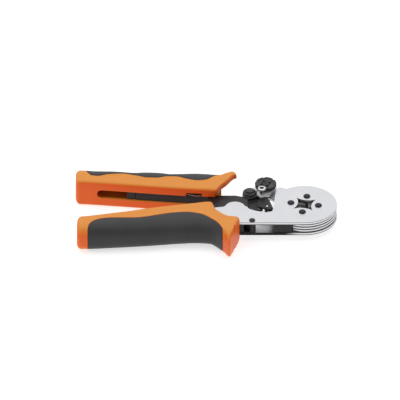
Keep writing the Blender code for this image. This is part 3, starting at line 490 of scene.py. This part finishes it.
def handle_rows(stations, pad, end_radii, slotted):
    """Sections of a handle, their distances to its pad's ends, and the pad's edge on each."""
    xs = [grip_x(s) for s, *_ in stations]
    first, last = min(xs), max(xs)
    pad_line = [(grip_x(share), y) for share, y in pad]
    pad_first, pad_last = min(pad_line)[0], max(pad_line)[0]
    marks = set(np.arange(first, -62, 1.1)) | set(np.arange(-62, last, 0.35)) | {first, last}
    for end, radius, way in ((first, end_radii[0], 1), (last, end_radii[1], -1)):
        marks |= {end + way * radius * (1 - math.cos(math.radians(a))) for a in range(0, 91, 10)}
    for end, way in ((pad_first, 1), (pad_last, -1)):
        marks |= {end + way * d for d in (-1.1, -0.6, -0.3, 0, 0.12, 0.22, 0.3, 0.5, 0.9)}
        marks |= {end + way * d for d in (1.3, 1.7, 2.1, 2.6, 3.1, 3.7, 4.3)}
    if slotted:
        for edge in (*NOTCH_X, SLOT_START, DIAGONAL_X, HORN_X):
            marks |= {edge - 0.004, edge + 0.004}
        marks |= {SLOT_START + SLOT_HALF * (1 - math.cos(math.radians(a)))
                  for a in range(10, 91, 10)}
    kept = []
    for x in sorted(m for m in marks if first <= m <= last):
        if not kept or x - kept[-1] > 0.006:
            kept.append(x)
    rows = []
    for x in kept:
        inner = float(smooth_line([(grip_x(s), a) for s, a, b, t in stations], x))
        outer = float(smooth_line([(grip_x(s), b) for s, a, b, t in stations], x))
        half_t = HALF_T * float(smooth_line([(grip_x(s), t) for s, a, b, t in stations], x))
        inset = 0.0
        for depth, radius in ((x - first, end_radii[0]), (last - x, end_radii[1])):
            if depth < radius:
                inset = max(inset, radius - math.sqrt(max(radius ** 2 - (radius - depth) ** 2, 0)))
        side = 1 if outer > inner else -1
        inner, outer, half_t = inner + side * inset, outer - side * inset, half_t - inset
        width = abs(outer - inner)
        shoulder = width * float(np.interp(x, [-62, -54, -48], [0.5, 0.34, 0.26]))
        corner = min(1.9 if slotted else 2.6, width * 0.3)
        section = Section(inner, outer, half_t, shoulder, corner)
        edge = float(smooth_line(pad_line, x))
        rows.append((x, section, section.at_y(edge), max(pad_first - x, x - pad_last)))
    return rows


def body_half(x, section, pad_s, pad_x, upper, slotted):
    """Upper or lower half of a ring of the hard shell, from its outer side to its inner side."""
    places = list(np.linspace(0, pad_s - 0.5, 9)) + [pad_s - 0.22, pad_s - 0.12, pad_s]
    places += [pad_s + 0.3, pad_s + 0.6, pad_s + 1.1]
    places += list(np.linspace(pad_s + 1.1, max(section.corner_start, pad_s + 1.2), 7))[1:]
    places += list(np.linspace(section.corner_start, section.corner_end, 8))[1:]
    points = []
    for s in places:
        across, along = s - pad_s, pad_x
        if across > 0 or along > 0:
            height = lip_height(math.hypot(max(across, 0), max(along, 0)))
        else:
            height = lip_height(max(across, along))
        points.append(section.point(min(max(s, 0), section.s[-1]), height))
    half = slot_half(x, upper) if slotted else 0.0
    start_z = section.half_t - section.corner
    lip = min(half, start_z - 0.5)
    chamfer = 0.35 if lip > 0 else 0.0
    inner, side = section.inner, section.side
    groove = 1.1 if slotted and x > DIAGONAL_X else 0.0
    face = np.linspace(start_z, lip + chamfer, 6)
    points += [(inner, face[1]), (inner + side * groove, face[1]),
               (inner + side * groove, face[3]), (inner, face[3]), (inner, face[5])]
    if lip <= 0:
        points += [(inner, 0.0)] * 5
        return points if upper else [(y, -z) for y, z in points]
    floor = max(abs(section.y[0] - inner) - 4.2, SKIN + 0.5)
    hollow = CAVITY_HALF if x < DIAGONAL_X else lip
    points += [(inner + side * chamfer, lip), (inner + side * SKIN, lip),
               (inner + side * SKIN, hollow), (inner + side * floor, hollow),
               (inner + side * floor, 0.0)]
    return points if upper else [(y, -z) for y, z in points]


def horn_plate(x, section):
    """Ring of the horn: round its outer edge, over its face and back under it."""
    start = float(np.interp(HORN_LOW, section.z[:60], section.s[:60]))
    places = list(np.linspace(start, max(section.corner_start, start + 0.1), 14))
    places += list(np.linspace(section.corner_start, section.corner_end, 8))[1:]
    points = [section.point(s, 0.0) for s in places]
    inner, side = section.inner, section.side
    groove = min(1.1, abs(section.y[0] - inner) * 0.2)
    face = np.linspace(section.half_t - section.corner, HORN_LOW + 0.3, 6)
    points += [(inner, face[1]), (inner + side * groove, face[1]),
               (inner + side * groove, face[3]), (inner, face[3]), (inner, face[5]),
               (inner + side * 0.3, HORN_LOW)]
    return [(x, y, z) for y, z in points]


def make_handle(prefix, stations, pad, end_radii, slotted, body):
    """A hard shell with a soft pad let into its outer side. Nothing goes below the underside."""
    rows = handle_rows(stations, pad, end_radii, slotted)
    shell, soft, horn = [], [], []
    for x, section, pad_s, pad_x in rows:
        if slotted and x > HORN_X:
            horn.append(horn_plate(x, section))
            continue
        top = body_half(x, section, pad_s, pad_x, True, slotted)
        bottom = body_half(x, section, pad_s, pad_x, False, slotted)
        if slotted and x > DIAGONAL_X:
            bottom = [(y, z * WEB_SHARE) for y, z in bottom]
        shell.append([(x, y, max(z, -HALF_T)) for y, z in top + bottom[-2:0:-1]])
        if pad_x > -0.2:
            continue
        places = [pad_s - d for d in (0.22, 0.3, 0.5, 0.9)]
        places += list(np.linspace(pad_s - 0.9, 0, 14))[1:]
        upper = [section.point(s, pad_height(min(pad_s - s, -pad_x))) for s in places]
        under = [section.point(s, -PAD_SINK + 0.15) for s in places[::4]]
        ring = upper + [(y, -z) for y, z in upper[-2::-1]]
        ring += [(y, -z) for y, z in under] + under[-2::-1]
        soft.append([(x, y, max(z, -HALF_T)) for y, z in ring])
    hard_mesh = grid_mesh(prefix + "_shell", shell, 38)
    if horn:
        hard_mesh = joined(hard_mesh, grid_mesh(prefix + "_horn", horn, 38))
    hard = new_object(prefix + "_handle_shell", hard_mesh, ORANGE, body, prefix + "_grip_body")
    rubber = new_object(prefix + "_handle_pad", grid_mesh(prefix + "_pad", soft, 50), RUBBER,
                        body, prefix + "_grip_pad")


make_handle("moving", MOVING_STATIONS, MOVING_PAD, (3.2, 1.2), True, "lever")
make_handle("fixed", FIXED_STATIONS, FIXED_PAD, (3.2, 2.4), False, "frame")


# ---- Turned pieces ----------------------------------------------------------------------------
def axis_place(x, y):
    """Maps (radius, degrees, height) to a place round an upright axis."""
    def place(radius, degrees, z):
        a = math.radians(degrees)
        return at(x + radius * math.cos(a), y + radius * math.sin(a), z)
    return place


def turned(name, centre, profile, material, body, *replaced, steps=64, sharp=40):
    """A round piece from a (radius, height) profile, top to bottom."""
    rows = [[(max(r, 0.02), 360 * k / steps, z) for k in range(steps)] for r, z in profile]
    mesh = grid_mesh(name, rows, sharp, axis_place(*centre))
    return new_object(name, mesh, material, body, *replaced)


def centre_of(node):
    low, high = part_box(node)
    middle = ((low + high) / 2 - DIE) / MM
    return middle.x, middle.y


def eased(profile, radius=0.15, steps=3):
    """Rounds every inner corner of a profile of (radius, height) points."""
    points = [Vector(p) for p in profile]
    out = [tuple(points[0])]
    for before, corner, after in zip(points, points[1:], points[2:]):
        into, away = before - corner, after - corner
        cut = min(radius, into.length * 0.45, away.length * 0.45)
        a, b = corner + into.normalized() * cut, corner + away.normalized() * cut
        for k in range(steps + 1):
            t = k / steps
            out.append(tuple((1 - t) ** 2 * a + 2 * t * (1 - t) * corner + t * t * b))
    return out + [tuple(points[-1])]


def domed_rivet(name, node, body, head_r, shank_r, seat):
    """A rivet with a shallow dome standing on each frame plate."""
    top = level(node)[1]
    dome = [(head_r * math.sin(a), seat + 0.25 + (top - seat - 0.25) * math.cos(a))
            for a in [math.radians(d) for d in range(0, 91, 10)]]
    half = dome + [(head_r - 0.08, seat + 0.05), (shank_r, seat)]
    profile = half + [(r, -z) for r, z in reversed(half)]
    piece = turned(name, centre_of(node), profile, RIVET, body, node, steps=40)


PLATE_FACE = level("frame_plate_top")[1]
for k in range(1, 5):
    domed_rivet(f"jaw_rivet_{k}", f"jaw_pin_{k}", "frame", 2.35, 1.6, PLATE_FACE)
domed_rivet("link_rivet_domed", "link_rivet", "frame", 2.05, 1.3, PLATE_FACE)


def adjust_button():
    """Black flanged button on the lever's pivot, with a raised stud."""
    flange, top = PLATE_FACE - 1.85, level("lever_pivot_rivet")[1]
    bottom = level("lever_pivot_rivet")[0]
    profile = eased([(0, top), (2.75, top), (2.85, top - 1.3), (4.4, top - 1.4), (4.5, top - 2.2),
                     (4.5, flange), (2.0, flange), (2.0, -flange), (3.6, -flange),
                     (3.6, bottom + 0.4), (3.0, bottom), (0, bottom)], 0.35, 4)
    piece = turned("lever_pivot_button", centre_of("lever_pivot_rivet"), profile, KNOB, "cam_ring",
                   "lever_pivot_rivet")


def painted_shade_disc(name, centre, radius, low, thickness, body):
    """A thin black disc: painted shade on the bottom of a recess."""
    high = low + thickness
    profile = [(0, high), (radius, high), (radius, low), (0, low)]
    disc = turned(name, centre, profile, RIVET, body)


def polar_rows(steps, rings):
    """Rows for a polar grid from (radius of angle, height of angle) pairs of functions."""
    rows = []
    for radius, height in rings:
        angles = [360 * k / steps for k in range(steps)]
        rows.append([(max(radius(a), 0.02), a, height(a)) for a in angles])
    return rows


def constant(value):
    return lambda angle: value


def adjusting_wheel():
    """Knob with shallow notches in its rim, and a four-pointed recess in its dished top."""
    low, high = level("adjust_wheel")
    rim, notches, notch_depth, first_notch = 7.2, 6, 0.7, 40.0
    star_turn, sharpness, recess = 20, 0.75, 2.2

    def edge(angle, inset=0.0):
        apart = (angle - first_notch + 180 / notches) % (360 / notches) - 180 / notches
        return rim - inset - notch_depth * math.exp(-(apart / 6.0) ** 4)

    def star(angle, size):
        a = math.radians(angle - star_turn)
        spread = abs(math.cos(a)) ** sharpness + abs(math.sin(a)) ** sharpness
        return size / spread ** (1 / sharpness)

    rings = [
        (constant(0), constant(high - recess)),
        (lambda a: star(a, 4.5), constant(high - recess)),
        (lambda a: star(a, 4.8), constant(high - 0.72)),
        (lambda a: star(a, 4.8) + 0.15, constant(high - 0.6)),
        (constant(5.0), constant(high - 0.55)),
        (constant(5.3), constant(high - 0.40)),
        (constant(5.55), constant(high - 0.06)),
        (constant(5.75), constant(high)),
        (lambda a: edge(a, 0.50), constant(high)),
        (lambda a: edge(a, 0.24), constant(high - 0.08)),
        (lambda a: edge(a, 0.07), constant(high - 0.26)),
        (edge, constant(high - 0.50)),
        (edge, constant(low + 0.45)),
        (lambda a: edge(a, 0.12), constant(low + 0.2)),
        (lambda a: edge(a, 0.4), constant(low)),
        (constant(2.6), constant(low)),
        (constant(0), constant(low))]
    mesh = grid_mesh("adjusting_wheel", polar_rows(240, rings), 32,
                     axis_place(*pivot("adjust_wheel_turn")))
    wheel = new_object("adjusting_wheel", mesh, KNOB, "wheel", "adjust_wheel")
    # Painted shade: a black disc at the bottom of the star recess.
    painted_shade_disc("wheel_recess_painted_shade", pivot("adjust_wheel_turn"), 2.4, high - 2.18, 0.06, "wheel")


def hex_lock_screw():
    """Bright button-head screw with a hexagon socket, beside the wheel."""
    low, high = level("lock_screw")
    head, across = high - 1.4, 1.35     # underside of the head, half width of the socket

    def hexagon(angle):
        return across / math.cos(math.radians((angle + 15) % 60 - 30))

    rings = [
        (constant(0), constant(high - 1.1)),
        (lambda a: hexagon(a) * 0.98, constant(high - 1.0)),
        (hexagon, constant(high - 0.95)),
        (hexagon, constant(high - 0.12)),
        (lambda a: hexagon(a) * 1.08 + 0.05, constant(high)),
        (constant(2.05), constant(high)),
        (constant(2.4), constant(high - 0.1)),
        (constant(2.65), constant(high - 0.32)),
        (constant(2.72), constant(high - 0.6)),
        (constant(2.72), constant(head + 0.1)),
        (constant(2.62), constant(head)),
        (constant(1.2), constant(head)),
        (constant(1.2), constant(low)),
        (constant(0), constant(low))]
    mesh = grid_mesh("hex_lock_screw", polar_rows(96, rings), 35,
                     axis_place(*pivot("lock_screw_turn")))
    screw = new_object("hex_lock_screw", mesh, BRIGHT, "lock_screw", "lock_screw")
    # Painted shade: a black disc at the bottom of the hexagon socket.
    painted_shade_disc("socket_painted_shade", pivot("lock_screw_turn"), 1.3, high - 0.93, 0.02, "lock_screw")


adjust_button()
adjusting_wheel()
hex_lock_screw()


# ---- Springs ----------------------------------------------------------------------------------
def wire(name, points, radius, material):
    curve = bpy.data.curves.new(name, "CURVE")
    curve.dimensions = "3D"
    curve.bevel_depth = radius * MM
    curve.bevel_resolution = 3
    curve.use_fill_caps = True
    spline = curve.splines.new("POLY")
    spline.points.add(len(points) - 1)
    for point, place in zip(spline.points, points):
        point.co = (*at(*place), 1)
    curve.materials.append(material)
    obj = bpy.data.objects.new(name, curve)
    bpy.context.scene.collection.objects.link(obj)
    return obj


def as_mesh(obj):
    """The same piece as a mesh object."""
    graph = bpy.context.evaluated_depsgraph_get()
    mesh = bpy.data.meshes.new_from_object(obj.evaluated_get(graph))
    made = bpy.data.objects.new(obj.name + "_wire", mesh)
    bpy.context.scene.collection.objects.link(made)
    welded = bmesh.new()
    welded.from_mesh(mesh)
    bmesh.ops.remove_doubles(welded, verts=welded.verts, dist=1e-7)
    welded.to_mesh(mesh)
    welded.free()
    mesh.shade_smooth()
    bpy.data.objects.remove(obj)
    return made


def extension_spring(name, start, end, radius, wire_radius, turns, hook_radius):
    """Close-wound coil between two posts, with an open loop round each post."""
    start, end = Vector(start), Vector(end)
    axis = (end - start).normalized()
    side = axis.cross(Vector((0, 0, 1))).normalized()
    up = side.cross(axis)
    body_start = start + axis * (hook_radius + radius * 0.9)
    body_end = end - axis * (hook_radius + radius * 0.9)
    points = []
    for k in range(12):
        a = math.radians(-150 + 285 * k / 11)
        points.append(start + (-axis * math.cos(a) + side * math.sin(a)) * hook_radius)
    for k in range(turns * 20 + 1):
        share = k / (turns * 20)
        a = 2 * math.pi * turns * share
        grow = min(share * turns * 2, (1 - share) * turns * 2, 1)
        middle = body_start.lerp(body_end, share)
        turn = side * math.cos(a) + up * math.sin(a)
        points.append(middle + turn * radius * (0.55 + 0.45 * grow))
    for k in range(12):
        a = math.radians(135 - 285 * k / 11)
        points.append(end + (axis * math.cos(a) + side * math.sin(a)) * hook_radius)
    return as_mesh(wire(name, points, wire_radius, SPRING))


RETURN_ENDS = [Vector((*centre_of(post), 0.0))
               for post in ("link_spring_post", "return_spring_post")]
return_coil = extension_spring("return_coil", *RETURN_ENDS, 2.1, 0.35, 16, 1.25)
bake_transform(return_coil)
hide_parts("return_spring")

PAWL_LEVEL = sum(level("pawl_spring")) / 2
PAWL_ENDS = (Vector((*centre_of("pawl_spring_post"), PAWL_LEVEL)),
             Vector((-27.0, 14.0, PAWL_LEVEL)))
pawl_coil = extension_spring("pawl_coil", *PAWL_ENDS, 0.75, 0.18, 20, 0.75)
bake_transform(pawl_coil)
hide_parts("pawl_spring")


# ---- Finishes of the CAD pieces that stay -----------------------------------------------------
FINISHES = {
    NICKEL: ("frame_plate_top", "cam_ring_top", "cam_ring_middle", "cam_ring_bottom"),
    NICKEL_SHADED_RIM: ("frame_plate_bottom",),
    SATIN_PAINTED_LIGHT: ("lock_plate",),
    JAW: ("jaw_1", "jaw_2", "jaw_3", "jaw_4"),
    SPRING: ("tang_clip",)}
WIDE_BEVEL, FINE_BEVEL = 0.3, 0.12
FINISH_OF = {node: material for material, nodes in FINISHES.items() for node in nodes}
for node, obj in NODES.items():
    if not obj.hide_render:
        wide = "frame_plate" in node or "cam_ring" in node
        dress(node, FINISH_OF.get(node, OXIDE), WIDE_BEVEL if wide else FINE_BEVEL)


# ---- Camera, floor and light ------------------------------------------------------------------
LOOK_AT = at(-69.6, 12.2)
ELEVATION, DISTANCE, VIEW_WIDTH, SENSOR = math.radians(34.5), 6.0, 0.26667, 36.0
camera = bpy.data.cameras.new("camera")
camera.sensor_width = SENSOR
camera.lens = SENSOR * DISTANCE / VIEW_WIDTH
camera.clip_end = 20
camera.dof.use_dof = False
camera_object = bpy.data.objects.new("camera", camera)
camera_object.location = LOOK_AT + Vector((0, -math.cos(ELEVATION), math.sin(ELEVATION))) * DISTANCE
camera_object.rotation_euler = (math.pi / 2 - ELEVATION, 0, 0)
bpy.context.scene.collection.objects.link(camera_object)
bpy.context.scene.camera = camera_object


def floor():
    made, nodes, links, shader = new_material("pale_floor")
    shade = noise(nodes, links, 3, 2)
    links.new(ramp(nodes, links, shade, [(0.3, (0.58, 0.58, 0.585)), (0.7, (0.60, 0.60, 0.60))]),
              shader.inputs["Base Color"])
    shader.inputs["Roughness"].default_value = 0.9
    shader.inputs["Specular IOR Level"].default_value = 0.1
    shader.inputs["Emission Color"].default_value = (1, 1, 1, 1)
    shader.inputs["Emission Strength"].default_value = 0.62
    mesh = bpy.data.meshes.new("floor")
    half = 3.0
    mesh.from_pydata([(-half, -half, 0), (half, -half, 0), (half, half, 0), (-half, half, 0)], [],
                     [(0, 1, 2, 3)])
    mesh.materials.append(made)
    obj = bpy.data.objects.new("floor", mesh)
    obj.location.z = -0.0002
    bpy.context.scene.collection.objects.link(obj)


def softbox(name, place, size, power):
    """Area light aimed at the middle of the tool; place and size in metres."""
    light = bpy.data.lights.new(name, "AREA")
    light.shape = "RECTANGLE"
    light.size, light.size_y = size
    light.energy = power
    obj = bpy.data.objects.new(name, light)
    obj.location = place
    obj.rotation_euler = (-Vector(place)).to_track_quat("-Z", "Y").to_euler()
    bpy.context.scene.collection.objects.link(obj)


floor()
softbox("overhead", (0.0, 0.25, 1.4), (2.2, 1.6), 12)
softbox("back", (0.1, 1.7, 1.0), (2.4, 1.2), 6)
softbox("left", (-1.4, -0.3, 0.7), (0.7, 0.9), 3)
world = bpy.data.worlds.new("studio")
world.use_nodes = True
world.node_tree.nodes["Background"].inputs["Color"].default_value = (1, 1, 1, 1)
world.node_tree.nodes["Background"].inputs["Strength"].default_value = 0.55
bpy.context.scene.world = world
bpy.context.scene.view_settings.view_transform = "Standard"
